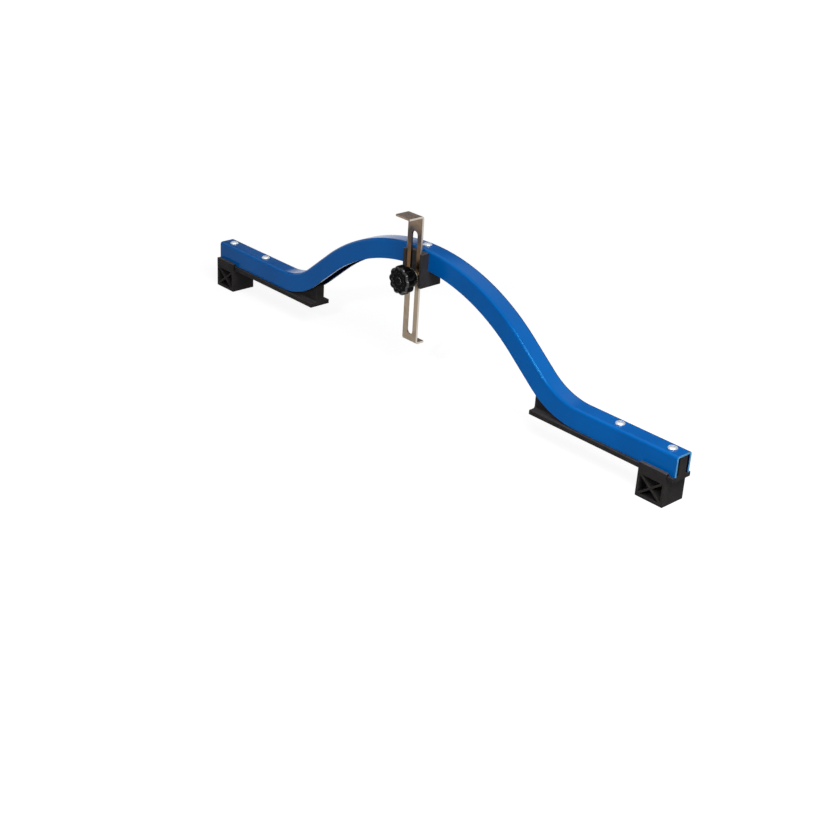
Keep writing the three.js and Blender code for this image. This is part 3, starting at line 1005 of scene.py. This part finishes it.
@dataclass
class BlindRivets:
    """Five domed blind rivets and the mandrels left in them."""

    inset: float = 12.9
    pitch: float = 56.7
    hole_diameter: float = 5.4
    hole_depth: float = 15.0
    head_diameter: float = 8.8
    head_height: float = 1.7
    shank_diameter: float = 4.8
    shank_length: float = 10.5
    bore: float = 2.9
    pin_diameter: float = 2.3
    pin_recess: float = 0.15
    pin_head_diameter: float = 4.4
    pin_head_length: float = 1.8
    pin_sides: int = 24
    break_height: float = 0.15
    break_share: float = 0.7
    break_crown: float = 0.05
    grip_gap: float = 0.05
    grip_depth: float = 0.5
    dome_steps: int = 9
    smooth_under: float = 35.0

    @property
    def crown(self) -> float:
        """How high a rivet's head stands over the sheet."""
        return LAY.clearance + self.head_height

    def places(self) -> dict[str, Triple]:
        """Lays the rivets out.

        Returns:
            For each rivet's name, the point on its axis at the sheet's top.
        """
        outer = LAY.half_length - self.inset
        inner = outer - self.pitch
        legs = {"left_outer": -outer, "left_inner": -inner, "right_inner": inner, "right_outer": outer}
        on_legs = {f"{name}_rivet": (x, 0.0, LAY.leg_top) for name, x in legs.items()}
        return {"crest_rivet": (0.0, 0.0, LAY.crest_top)} | on_legs

    def drills(self, start: float, end: float) -> list[Workpiece]:
        """Makes the cutters for the holes in one piece.

        Args:
            start: The piece's left end, on X.
            end: Its right end.

        Returns:
            A cutter for each hole between the two.
        """
        radius, depth = self.hole_diameter / 2, self.hole_depth
        holes = [(x, top) for x, _, top in self.places().values() if start < x < end]
        return [Workpiece.bar("drill", radius, (x, 0.0, top - depth), (x, 0.0, top + OVERRUN)) for x, top in holes]

    def build(self) -> None:
        """Makes a rivet and a mandrel, and copies both to each place."""
        dome, mandrel = self.turn_dome(), self.turn_mandrel()
        for name, place in self.places().items():
            dome.copied(f"{name}_dome", place).dress(RIVET_ALUMINIUM, Body.BEAM, name)
            mandrel.copied(f"{name}_pin", place).dress(BROKEN_STEEL, Body.BEAM, f"{name}_mandrel")
        dome.scrap()
        mandrel.scrap()

    def turn_dome(self) -> Workpiece:
        """Turns a hollow rivet, whose domed head closes round the mandrel.

        Returns:
            The rivet, with the sheet's top at the origin.
        """
        bore = self.bore / 2
        head = self.head_diameter / 2
        shank = self.shank_diameter / 2
        under = LAY.clearance
        grip = self.pin_diameter / 2 + self.grip_gap
        profile: list[Pair] = [(bore, -self.shank_length), (shank, -self.shank_length), (shank, under), (head, under)]
        for step in range(1, self.dome_steps + 1):
            turn = step / self.dome_steps * math.pi / 2
            profile.append((bore + (head - bore) * math.cos(turn), under + self.head_height * math.sin(turn)))
        profile += [
            (grip, self.crown - self.grip_gap),
            (grip, self.crown - self.grip_depth),
            (bore, self.crown - 2 * self.grip_depth),
            profile[0],
        ]
        dome = Workpiece.turned("dome", profile, ORIGIN, UP)
        dome.smooth(self.smooth_under)
        return dome

    def turn_mandrel(self) -> Workpiece:
        """Turns a mandrel, its broken end a little below the rivet's crown.

        Returns:
            The mandrel, with the sheet's top at the origin.
        """
        pin = self.pin_diameter / 2
        head = self.pin_head_diameter / 2
        top = self.crown - self.pin_recess
        head_top = -self.shank_length - LAY.clearance
        profile = [
            (0.0, head_top - self.pin_head_length),
            (head, head_top - self.pin_head_length),
            (head, head_top),
            (pin, head_top),
            (pin, top - self.break_height),
            (pin * self.break_share, top),
            (0.0, top + self.break_crown),
        ]
        mandrel = Workpiece.turned("mandrel", profile, ORIGIN, UP, self.pin_sides)
        mandrel.smooth(self.smooth_under)
        return mandrel


@dataclass
class BeamChannel:
    """The bow: steel sheet bent to an inverted U and rolled to its curve."""

    bend_radius: float = 2.6
    bend_segments: int = 5
    edge_radius: float = 0.45
    crest_steps: int = 44
    foot_steps: int = 16

    def build(self, rivets: BlindRivets) -> None:
        """Bends the sheet, drills it and paints it.

        Args:
            rivets: The rivets that need holes.
        """
        half = LAY.beam_width / 2
        bottom = LAY.leg_top - LAY.beam_height
        sheet = Workpiece.box("channel", (-LAY.half_length, -half, bottom), (-LAY.leg_start, half, LAY.leg_top))
        with sheet.editing():
            sheet.pick_faces(lambda middle, normal: abs(normal.x) > FACING or normal.z < -FACING)
            bpy.ops.mesh.delete(type="FACE")
            sheet.pick_edges(lambda a, b: near(a.z, LAY.leg_top) and near(b.z, LAY.leg_top) and near(a.y, b.y))
            sheet.bevel(self.bend_radius, self.bend_segments)
            sheet.pick_edges(lambda a, b: near(a.x, -LAY.leg_start) and near(b.x, -LAY.leg_start))
            self.roll(sheet)
            sheet.face_towards(UP)
        sheet.thicken(LAY.beam_wall)
        sheet.cut(*rivets.drills(-LAY.half_length, LAY.half_length))
        sheet.break_edges(self.edge_radius)
        sheet.dress(PowderCoat(), Body.BEAM, "beam_channel")

    def roll(self, sheet: Workpiece) -> None:
        """Carries the selected open end up over the crest and down to the other leg.

        Args:
            sheet: The bent sheet.
        """
        angle = LAY.flank_angle
        across = LAY.flank_length * math.cos(angle)
        up = LAY.flank_length * math.sin(angle)
        foot_centre = LAY.leg_top + LAY.foot_radius
        sheet.spin((-LAY.leg_start, 0.0, foot_centre), BACKWARDS, angle, self.foot_steps)
        sheet.extrude((across, 0.0, up))
        sheet.spin((0.0, 0.0, LAY.crest_top - LAY.crest_radius), BACKWARDS, -2 * angle, self.crest_steps)
        sheet.extrude((across, 0.0, -up))
        sheet.spin((LAY.leg_start, 0.0, foot_centre), BACKWARDS, angle, self.foot_steps)
        sheet.extrude((LAY.leg_length, 0.0, 0.0))


@dataclass
class Rails:
    """Two moulded T bars, each with its flange below a leg and its web up inside it."""

    length: float = 163.0
    web_width: float = 10.0
    fillet: float = 2.2
    fillet_segments: int = 4
    edge_radius: float = 0.4

    def build(self, rivets: BlindRivets) -> None:
        """Draws each web up out of its flange and drills it.

        Args:
            rivets: The rivets that need holes.
        """
        half = LAY.flange_width / 2
        web_half = self.web_width / 2
        web_top = LAY.leg_top - LAY.beam_wall - LAY.clearance
        for side in Side:
            start, end = sorted((side.value * LAY.half_length, side.value * (LAY.half_length - self.length)))
            low, high = (start, -half, LAY.flange_bottom), (end, half, LAY.flange_top)
            rail = Workpiece.box(f"{side.label}_t_rail", low, high)
            with rail.editing():
                rail.bisect((0.0, -web_half, 0.0), BACKWARDS)
                rail.bisect((0.0, web_half, 0.0), BACKWARDS)
                rail.pick_faces(lambda middle, normal: normal.z > FACING and near(middle.y, 0.0))
                rail.extrude((0.0, 0.0, web_top - LAY.flange_top))
                rail.pick_edges(lambda a, b: near(a.y, b.y) and all(
                    near(tip.z, LAY.flange_top) and near(abs(tip.y), web_half) for tip in (a, b)
                ))
                rail.bevel(self.fillet, self.fillet_segments)
                rail.tidy()
            rail.cut(*rivets.drills(start, end))
            rail.break_edges(self.edge_radius)
            rail.dress(RAIL_NYLON, Body.BEAM, f"{side.label}_rail")


@dataclass
class SlidingBlocks:
    """Two moulded feet that hook over the rails, cored from both sides to a cross of ribs."""

    right_inset: float = 5.5
    length: float = 29.2
    width: float = 28.0
    lip: float = 2.4
    pocket_length: float = 24.0
    pocket_floor: float = 3.0
    pocket_height: float = 18.5
    pocket_depth: float = 11.0
    rib: float = 1.8
    draft: float = 0.25
    edge_radius: float = 0.35

    def build(self) -> None:
        """Cores a block's sides, cuts the T-shaped way for the rail, and copies the block to each end."""
        half_length = self.length / 2
        half_width = self.width / 2
        lip_floor = LAY.flange_top + LAY.clearance
        lip_top = lip_floor + self.lip
        block = Workpiece.box("block", (-half_length, -half_width, 0.0), (half_length, half_width, lip_top))
        self.core(block)
        reach = half_length + OVERRUN
        for half, low, high in (
            (LAY.flange_width / 2 + LAY.clearance, LAY.block_base, lip_floor),
            (LAY.beam_width / 2 + LAY.sliding_clearance, lip_floor - OVERRUN, lip_top + OVERRUN),
        ):
            block.cut(Workpiece.box("rail way", (-reach, -half, low), (reach, half, high)))
        block.break_edges(self.edge_radius)
        for side, inset in ((Side.LEFT, 0.0), (Side.RIGHT, self.right_inset)):
            x = side.value * (LAY.half_length - inset - half_length)
            node = f"{side.label}_block"
            block.copied(f"{side.label}_foot_block", (x, 0.0, 0.0)).dress(MouldedNylon(), Body(node), node)
        block.scrap()

    def core(self, block: Workpiece) -> None:
        """Sinks four drafted triangles into each side and leaves the ribs between them.

        Args:
            block: The solid block.
        """
        rib_half = self.rib / 2
        across = self.pocket_length / 2 + rib_half
        middle_height = self.pocket_floor + self.pocket_height / 2
        up = self.pocket_height / 2 + rib_half
        with block.editing():
            for side in (-1, 1):
                block.bisect((side * across, 0.0, 0.0), ALONG)
            for side in (-1, 1):
                block.bisect((0.0, 0.0, middle_height + side * up), UP)
            block.pick_faces(
                lambda middle, normal: abs(normal.y) > FACING and near(middle.x, 0.0) and near(middle.z, middle_height)
            )
            bpy.ops.mesh.poke()
            bpy.ops.mesh.inset(thickness=rib_half * MM, use_individual=True)
            bpy.ops.mesh.inset(thickness=self.draft * MM, depth=-self.pocket_depth * MM, use_individual=True)


@dataclass
class GuideBracket:
    """A moulded saddle: a tongue up inside the crest, and a walled seat for the strip in front of it."""

    wall: float = 2.8
    wall_proud: float = 1.3
    below_bolt: float = 7.7
    nut_flats: float = 10.6
    head_depth: float = 4.3
    edge_radius: float = 0.5
    tongue_half: float = 7.2
    head_recess: float = 1.0

    def build(self, rivets: BlindRivets) -> None:
        """Cuts the saddle out of a block.

        Args:
            rivets: The rivets, of which the crest's holds it.
        """
        seat_half = LAY.strip_width / 2 + LAY.sliding_clearance
        half = seat_half + self.wall
        bottom = LAY.bolt_height - self.below_bolt
        top = LAY.crest_top - LAY.clearance - self.under_arc(LAY.beam_wall, half)
        slot_floor = LAY.crest_top - LAY.clearance - self.under_arc(LAY.beam_height, half)
        front, back = LAY.strip_front - self.wall_proud, self.tongue_half + OVERRUN
        above = top + OVERRUN
        saddle = Workpiece.box("guide_saddle", (-half, front, bottom), (half, self.tongue_half, top))
        for half_way, low, high in (
            (seat_half, (front - OVERRUN, bottom - OVERRUN), LAY.seat),
            (half + OVERRUN, (LAY.beam_front - LAY.clearance, slot_floor), -self.tongue_half),
        ):
            saddle.cut(Workpiece.box("way", (-half_way, *low), (half_way, high, above)))
        head_floor = self.tongue_half - self.head_recess - self.head_depth
        saddle.cut(Workpiece.clamp_bar("bolt way", LAY.bolt_hole, back, LAY.seat - OVERRUN))
        saddle.cut(Workpiece.clamp_bar("head way", hexagon_radius(self.nut_flats), back, head_floor, sides=6))
        saddle.cut(*rivets.drills(-half, half))
        saddle.break_edges(self.edge_radius)
        saddle.dress(BRACKET_NYLON, Body.BEAM, "guide_bracket")

    @staticmethod
    def under_arc(depth: float, half: float) -> float:
        """Gives how far under the crest's top an arc that deep has fallen to, half a width from its middle."""
        radius = LAY.crest_radius - depth
        return depth + radius - math.sqrt(radius**2 - half**2)


@dataclass
class IndicatorStrip:
    """The strip: cut from sheet, slotted, and bent back at its foot and forwards at its top."""

    height: float = 128.0
    foot_underside: float = 42.5
    foot_reach: float = 10.3
    top_reach: float = 18.2
    bend_radius: float = 1.0
    bend_steps: int = 6
    slot_width: float = 7.8
    slot_bottom: float = 50.5
    slot_top: float = 153.8
    slot_segments: int = 14
    edge_radius: float = 0.25

    def build(self) -> None:
        """Bends the strip and mills its slot."""
        half = LAY.strip_width / 2
        inner = self.bend_radius
        outer = inner + LAY.strip_thickness
        front = LAY.strip_front
        bottom, top = self.foot_underside, self.foot_underside + self.height
        tip = front + self.foot_reach
        strip = Workpiece.line("pointer_strip", [(-half, tip, bottom), (half, tip, bottom)])
        with strip.editing():
            bpy.ops.mesh.select_all(action="SELECT")
            strip.extrude((0.0, front + outer - tip, 0.0))
            strip.spin((0.0, front + outer, bottom + outer), ALONG, math.pi / 2, self.bend_steps)
            strip.extrude((0.0, 0.0, top - bottom - 2 * outer))
            strip.spin((0.0, front - inner, top - outer), ALONG, -math.pi / 2, self.bend_steps)
            strip.extrude((0.0, LAY.strip_back - self.top_reach - (front - inner), 0.0))
            strip.face_towards(FORWARDS)
        strip.thicken(LAY.strip_thickness)
        strip.cut(self.slot_tool())
        strip.break_edges(self.edge_radius)
        strip.dress(BrushedStainless(), Body.INDICATOR, "indicator_strip")

    def slot_tool(self) -> Workpiece:
        """Makes a round-ended cutter as long as the slot.

        Returns:
            The cutter.
        """
        half = self.slot_width / 2
        front, back = LAY.strip_front - OVERRUN, LAY.strip_back + OVERRUN
        tool = Workpiece.box("slot tool", (-half, front, self.slot_bottom), (half, back, self.slot_top))
        with tool.editing():
            tool.pick_edges(lambda a, b: near(a.x, b.x) and near(a.z, b.z))
            tool.bevel(half - PLACE_TOLERANCE / 2, self.slot_segments)
        return tool


@dataclass
class Clamp:
    """The bolt through the bracket, and the washer and lobed knob that grip the strip."""

    head_flats: float = 10.0
    head_height: float = 4.0
    head_back: float = 6.2
    head_edge: float = 0.4
    thread_pitch: float = 1.0
    thread_depth: float = 0.55
    thread_flat: float = 0.1
    tip_chamfer: float = 0.4
    bolt_sides: int = 32
    bolt_smooth: float = 25.0
    washer_diameter: float = 18.0
    washer_thickness: float = 1.6
    washer_edge: float = 0.25
    knob_diameter: float = 28.2
    knob_thickness: float = 11.2
    knob_smooth: float = 32.0
    lobes: int = 10
    lobe_depth: float = 1.6
    points_per_lobe: int = 12
    knob_edge: float = 3.0
    knob_edge_segments: int = 4
    rim_width: float = 2.8
    face_slope: float = 0.5
    face_depth: float = 0.8
    hub_radius: float = 4.6
    hub_rise: float = 0.6
    boss_diameter: float = 15.0
    boss_length: float = 5.0
    boss_edge: float = 0.5
    front_wall: float = 2.6
    fine_sides: int = 64
    insert_diameter: float = 9.0
    insert_length: float = 11.0
    insert_smooth: float = 35.0
    groove_places: Pair = (0.3, 0.7)
    groove_depth: float = 0.6
    groove_halves: Pair = (0.5, 0.8)

    @property
    def washer_back(self) -> float:
        """The washer's back face, on Y."""
        return LAY.strip_front - LAY.clearance

    @property
    def boss_back(self) -> float:
        """The back face of the knob's boss, on Y."""
        return self.washer_back - self.washer_thickness - LAY.clearance

    @property
    def knob_back(self) -> float:
        """The back face of the knob's lobed wheel, on Y."""
        return self.boss_back - self.boss_length

    @property
    def foot(self) -> Triple:
        """The point on the clamp's axis in the beam's middle plane."""
        return 0.0, 0.0, LAY.bolt_height

    def build(self) -> None:
        """Makes the clamp, from the bolt forwards."""
        self.build_bolt()
        self.build_washer()
        self.build_knob()
        self.build_insert()

    def build_bolt(self) -> None:
        """Turns the threaded shank and joins the six-sided head to it."""
        radius = LAY.bolt_diameter / 2
        root = radius - self.thread_depth
        head_front = self.head_back - self.head_height
        tip = self.insert_length - self.boss_back
        start = -head_front - OVERRUN
        profile: list[Pair] = [(0.0, start), (radius, start)]
        threads = int((tip - start - 2 * OVERRUN) / self.thread_pitch)
        for at in (tip - left * self.thread_pitch for left in range(threads, 0, -1)):
            middle = at + self.thread_pitch / 2
            flat = self.thread_flat * self.thread_pitch / 2
            profile += [(radius, at), (root, middle - flat), (root, middle + flat)]
        profile += [(radius - self.tip_chamfer, tip), (0.0, tip)]
        bolt = Workpiece.turned("carriage_bolt", profile, self.foot, FORWARDS, self.bolt_sides)
        head = Workpiece.clamp_bar("head", hexagon_radius(self.head_flats), self.head_back, head_front, sides=6)
        head.round_edges(self.head_edge, SHARP_ANGLE)
        bolt.combine(head, Joining.UNION)
        bolt.smooth(self.bolt_smooth)
        bolt.dress(ZINC_PLATE, Body.BEAM, "clamp_bolt")

    def build_washer(self) -> None:
        """Turns the washer."""
        hole, rim = LAY.bolt_hole, self.washer_diameter / 2
        back, front = -self.washer_back, -self.washer_back + self.washer_thickness
        profile = [(hole, back), (rim, back), (rim, front), (hole, front), (hole, back)]
        washer = Workpiece.turned("plain_washer", profile, self.foot, FORWARDS, self.fine_sides)
        washer.break_edges(self.washer_edge)
        washer.dress(ZINC_PLATE, Body.WASHER, "clamp_washer")

    def build_insert(self) -> None:
        """Turns the brass insert, with two grooves that hold it in the knob."""
        bore, rim = LAY.bolt_hole, self.insert_diameter / 2
        root = rim - self.groove_depth
        start = -self.boss_back + LAY.clearance
        end = start + self.insert_length
        profile: list[Pair] = [(bore, start), (rim, start)]
        floor_half, mouth_half = self.groove_halves
        for place in self.groove_places:
            middle = start + place * self.insert_length
            profile += [(rim, middle - mouth_half), (root, middle - floor_half)]
            profile += [(root, middle + floor_half), (rim, middle + mouth_half)]
        profile += [(rim, end), (bore, end), (bore, start)]
        insert = Workpiece.turned("threaded_insert", profile, self.foot, FORWARDS)
        insert.smooth(self.insert_smooth)
        insert.dress(TURNED_BRASS, Body.KNOB, "knob_insert")

    def build_knob(self) -> None:
        """Shapes the lobed wheel, raises its boss and bores it for the insert."""
        radius = self.knob_diameter / 2
        back, front = self.knob_back, self.knob_back - self.knob_thickness
        knob = Workpiece.clamp_bar("lobed_knob", radius, back, front, self.lobes * self.points_per_lobe)
        with knob.editing():
            self.press_lobes(knob)
            knob.pick_edges(lambda a, b: near(a.y, b.y))
            knob.bevel(self.knob_edge, self.knob_edge_segments)
            knob.pick_faces(lambda middle, normal: normal.y < -FACING and near(middle.y, front))
            self.sink_face(knob)
        boss_front = back - OVERRUN
        boss = Workpiece.clamp_bar("boss", self.boss_diameter / 2, self.boss_back, boss_front, self.fine_sides)
        boss.round_edges(self.boss_edge, SHARP_ANGLE)
        knob.combine(boss, Joining.UNION)
        bore = self.insert_diameter / 2 + LAY.clearance
        knob.cut(Workpiece.clamp_bar("bore", bore, self.boss_back + OVERRUN, front + self.front_wall))
        knob.smooth(self.knob_smooth)
        knob.dress(KNOB_NYLON, Body.KNOB, "thumb_knob")

    def draw_in(self, share: float) -> None:
        """Scales the selection towards the clamp's axis."""
        bpy.ops.transform.resize(value=(share, 1.0, share), center_override=Vector(self.foot) * MM)

    def sink_face(self, knob: Workpiece) -> None:
        """Sinks a shallow ring into the selected front face, between its rim and a raised middle.

        Args:
            knob: The lobed wheel.
        """
        radius = self.knob_diameter / 2
        rim = radius - self.rim_width
        for ring, sink in (
            (rim, 0.0),
            (rim - self.face_slope, self.face_depth),
            (self.hub_radius + self.face_slope, 0.0),
            (self.hub_radius, -self.hub_rise),
        ):
            knob.extrude((0.0, sink, 0.0))
            self.draw_in(ring / radius)
            radius = ring

    def press_lobes(self, knob: Workpiece) -> None:
        """Draws the rim in between the lobes, row of points by row of points.

        Args:
            knob: The round wheel.
        """
        radius = self.knob_diameter / 2
        pitch = math.tau / self.lobes
        step = pitch / self.points_per_lobe
        for row in range(1, self.points_per_lobe // 2 + 1):
            turn = row * step
            dip = self.lobe_depth * (1 - math.cos(turn * self.lobes / 2))

            def on_row(place: Vector, row_turn: float = turn) -> bool:
                """Says whether a point lies that far round from the middle of a lobe."""
                around = math.atan2(place.z - LAY.bolt_height, place.x) % pitch
                return abs(min(around, pitch - around) - row_turn) < step / 4

            knob.pick_points(on_row)
            self.draw_in((radius - dip) / radius)


@dataclass(frozen=True)
class Lamp:
    """A square soft lamp."""

    name: str
    place: Triple
    aim: Triple
    size: float
    watts: float


@dataclass
class Studio:
    """A pale floor, a soft tent of light and the camera.

    The tent is white near the horizon and overhead, and grey between, so that gloss has something dark
    to show as well.
    """

    azimuth: float = 45.75
    elevation: float = 26.083
    roll: float = 3.505
    camera_place: Triple = (914.8, -876.8, 578.1)
    lens: float = 61.18
    sensor: float = 36.0
    floor_size: float = 14000.0
    world_level: float = 0.21
    tent_grey: float = 0.1
    tent_low: Pair = (0.22, 0.27)
    tent_high: Pair = (0.52, 0.64)
    floor_colour: int = 0x949494
    floor_glow: Pair = (0.86, 1.0)
    floor_fade: Pair = (300.0, 1500.0)
    lamps: tuple[Lamp, ...] = (
        Lamp("key", (600.0, -250.0, 700.0), (220.0, 0.0, 60.0), 450.0, 4.9),
        Lamp("front", (544.0, -1192.0, 864.0), (0.0, 0.0, 60.0), 120.0, 5.2),
        Lamp("left", (-960.0, -660.0, 940.0), (0.0, 0.0, 60.0), 160.0, 0.25),
    )

    def build(self) -> None:
        """Sets the stage."""
        self.hang_backdrop()
        self.lay_floor()
        for lamp in self.lamps:
            self.light(lamp)
        self.set_camera()
        bpy.context.scene.view_settings.view_transform = "Standard"

    def hang_backdrop(self) -> None:
        """Makes the world white to the eye and in reflections, and soft on what it lights."""
        world = bpy.data.worlds.new("tent")
        bpy.context.scene.world = world
        world.use_nodes = True
        world.node_tree.nodes.clear()
        add = partial(add_node, world.node_tree)
        lit = add("Background", (WHITE, self.world_level))
        height = add("SeparateXYZ", [add("TexCoord").outputs["Generated"]]).outputs["Z"]
        low = add("MapRange", (height, *self.tent_low, 1.0, self.tent_grey))
        high = add("MapRange", (height, *self.tent_high, self.tent_grey, 1.0))
        bands = add("Math", (low, high), operation="MAXIMUM")
        eye = add("LightPath").outputs["Is Camera Ray"]
        level = add("Math", (bands, eye), operation="MAXIMUM")
        seen = add("Background", (WHITE, level))
        add("OutputWorld", {"Surface": add("MixShader", (self.seen_rays(add), lit, seen))})

    @staticmethod
    def seen_rays(add: Adder) -> Feed:
        """Tells the rays that show something to the eye from those that light it.

        Args:
            add: Adds a node to the material or the world.

        Returns:
            A factor that is 1 for rays from the camera, from gloss and through glass.
        """
        path = add("LightPath").outputs
        direct = add("Math", (path["Is Camera Ray"], path["Is Glossy Ray"]), operation="MAXIMUM")
        return add("Math", (direct, path["Is Transmission Ray"]), operation="MAXIMUM")

    def lay_floor(self) -> None:
        """Lays a pale floor that glows to the eye, more so far off, and runs white into the backdrop."""
        bpy.ops.object.select_all(action="DESELECT")
        bpy.ops.mesh.primitive_plane_add(size=self.floor_size * MM)
        floor = bpy.context.object
        floor.name = "floor"
        material, add, place = start_material("pale floor")
        paper = add("BsdfDiffuse", {"Color": linear(self.floor_colour)})
        far = add("VectorMath", [place], operation="LENGTH")
        fade = [distance * MM for distance in self.floor_fade]
        glow = add("Emission", (WHITE, add("MapRange", (far, *fade, *self.floor_glow))))
        bright = add("AddShader", (paper, glow))
        add("OutputMaterial", {"Surface": add("MixShader", (self.seen_rays(add), paper, bright))})
        floor.data.materials.append(material)

    @staticmethod
    def light(lamp: Lamp) -> None:
        """Hangs a lamp and aims it.

        Args:
            lamp: The lamp.
        """
        data = bpy.data.lights.new(lamp.name, "AREA")
        data.shape = "RECTANGLE"
        data.size = data.size_y = lamp.size * MM
        data.energy = lamp.watts
        holder = bpy.data.objects.new(lamp.name, data)
        bpy.context.scene.collection.objects.link(holder)
        holder.location = Vector(lamp.place) * MM
        holder.rotation_euler = (Vector(lamp.aim) - Vector(lamp.place)).to_track_quat("-Z", "Y").to_euler()

    def set_camera(self) -> None:
        """Sets the camera where the picture was taken from."""
        data = bpy.data.cameras.new("camera")
        data.sensor_width = self.sensor
        data.lens = self.lens
        camera = bpy.data.objects.new("camera", data)
        bpy.context.scene.collection.objects.link(camera)
        turn = Matrix.Rotation(math.radians(self.azimuth), 4, "Z")
        tilt = Matrix.Rotation(math.radians(90 - self.elevation), 4, "X")
        lean = Matrix.Rotation(math.radians(self.roll), 4, "Z")
        camera.matrix_world = Matrix.Translation(Vector(self.camera_place) * MM) @ turn @ tilt @ lean
        bpy.context.scene.camera = camera


def main() -> None:
    """Loads the frame and dresses it, sub-assembly by sub-assembly."""
    logging.basicConfig(level=logging.INFO, format="%(name)s %(message)s")
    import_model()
    bpy.ops.object.select_all(action="DESELECT")
    Studio().build()

    rivets = BlindRivets()
    BeamChannel().build(rivets)
    Rails().build(rivets)
    rivets.build()
    SlidingBlocks().build()
    GuideBracket().build(rivets)
    IndicatorStrip().build()
    Clamp().build()


if __name__ == "__main__":
    main()
